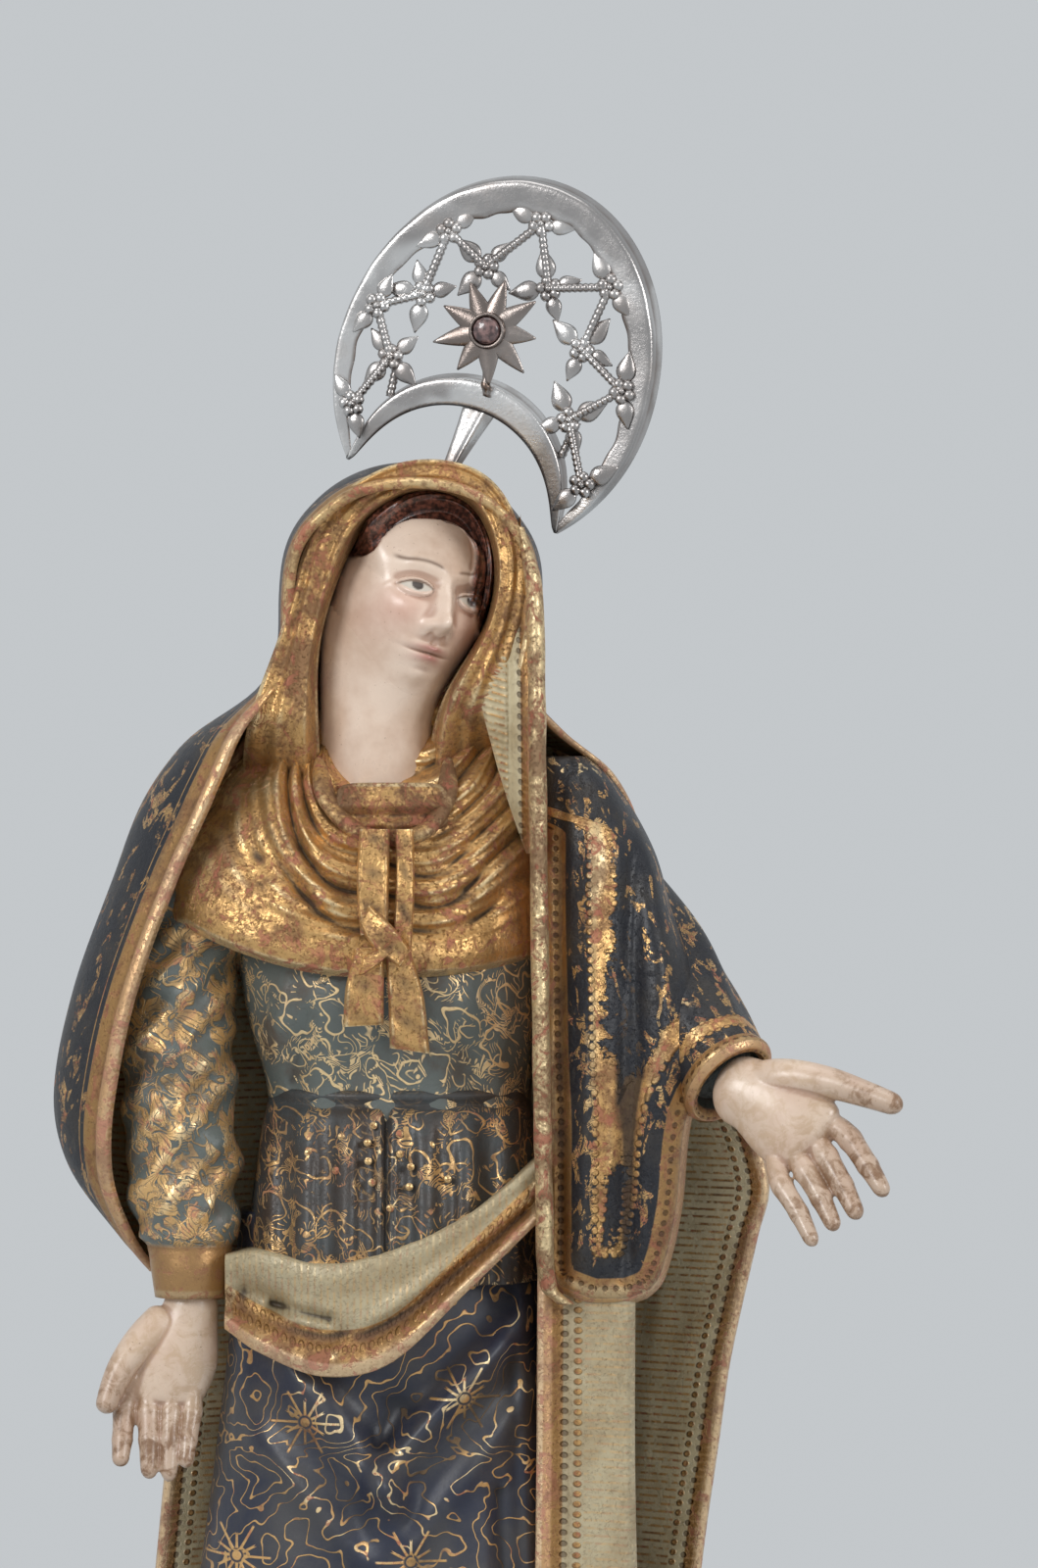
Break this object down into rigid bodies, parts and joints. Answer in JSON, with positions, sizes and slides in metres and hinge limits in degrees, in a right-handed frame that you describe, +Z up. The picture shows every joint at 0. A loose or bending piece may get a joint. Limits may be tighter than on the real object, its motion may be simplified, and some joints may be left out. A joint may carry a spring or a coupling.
{
  "type": "wooden saint statue",
  "caption": "Carved, gilded and painted wooden statue of a veiled female saint, head tilted, arms open with palms forward, silver halo with crescent, garland and star, low base.",
  "frame": {"origin": "centre of the footprint of the upright figure on the underside of the low base", "axes": "+Z up, along the standing figure; the figure faces -Y; +X is to the right of a viewer who faces it, towards its raised left hand"},
  "size_m": [0.305, 0.196, 0.7764],
  "materials": {
    "carved_wood": "carved wood with worn gold leaf over red ground, and blue, teal and green paint",
    "flesh_paint": "carved wood with satin flesh paint, grimy at the fingertips",
    "silver": "polished silver, slightly tarnished in the hollows",
    "stone_setting": "small cut stone, greyish pink",
    "base_wood": "dark painted wood with gilded mouldings"
  },
  "bodies": {
    "root": {"figure": "carved_wood", "right_hand": "flesh_paint", "left_hand": "flesh_paint", "halo": "silver", "halo_star": "silver", "halo_stone": "stone_setting", "plinth": "base_wood"}
  },
  "joints": []
}
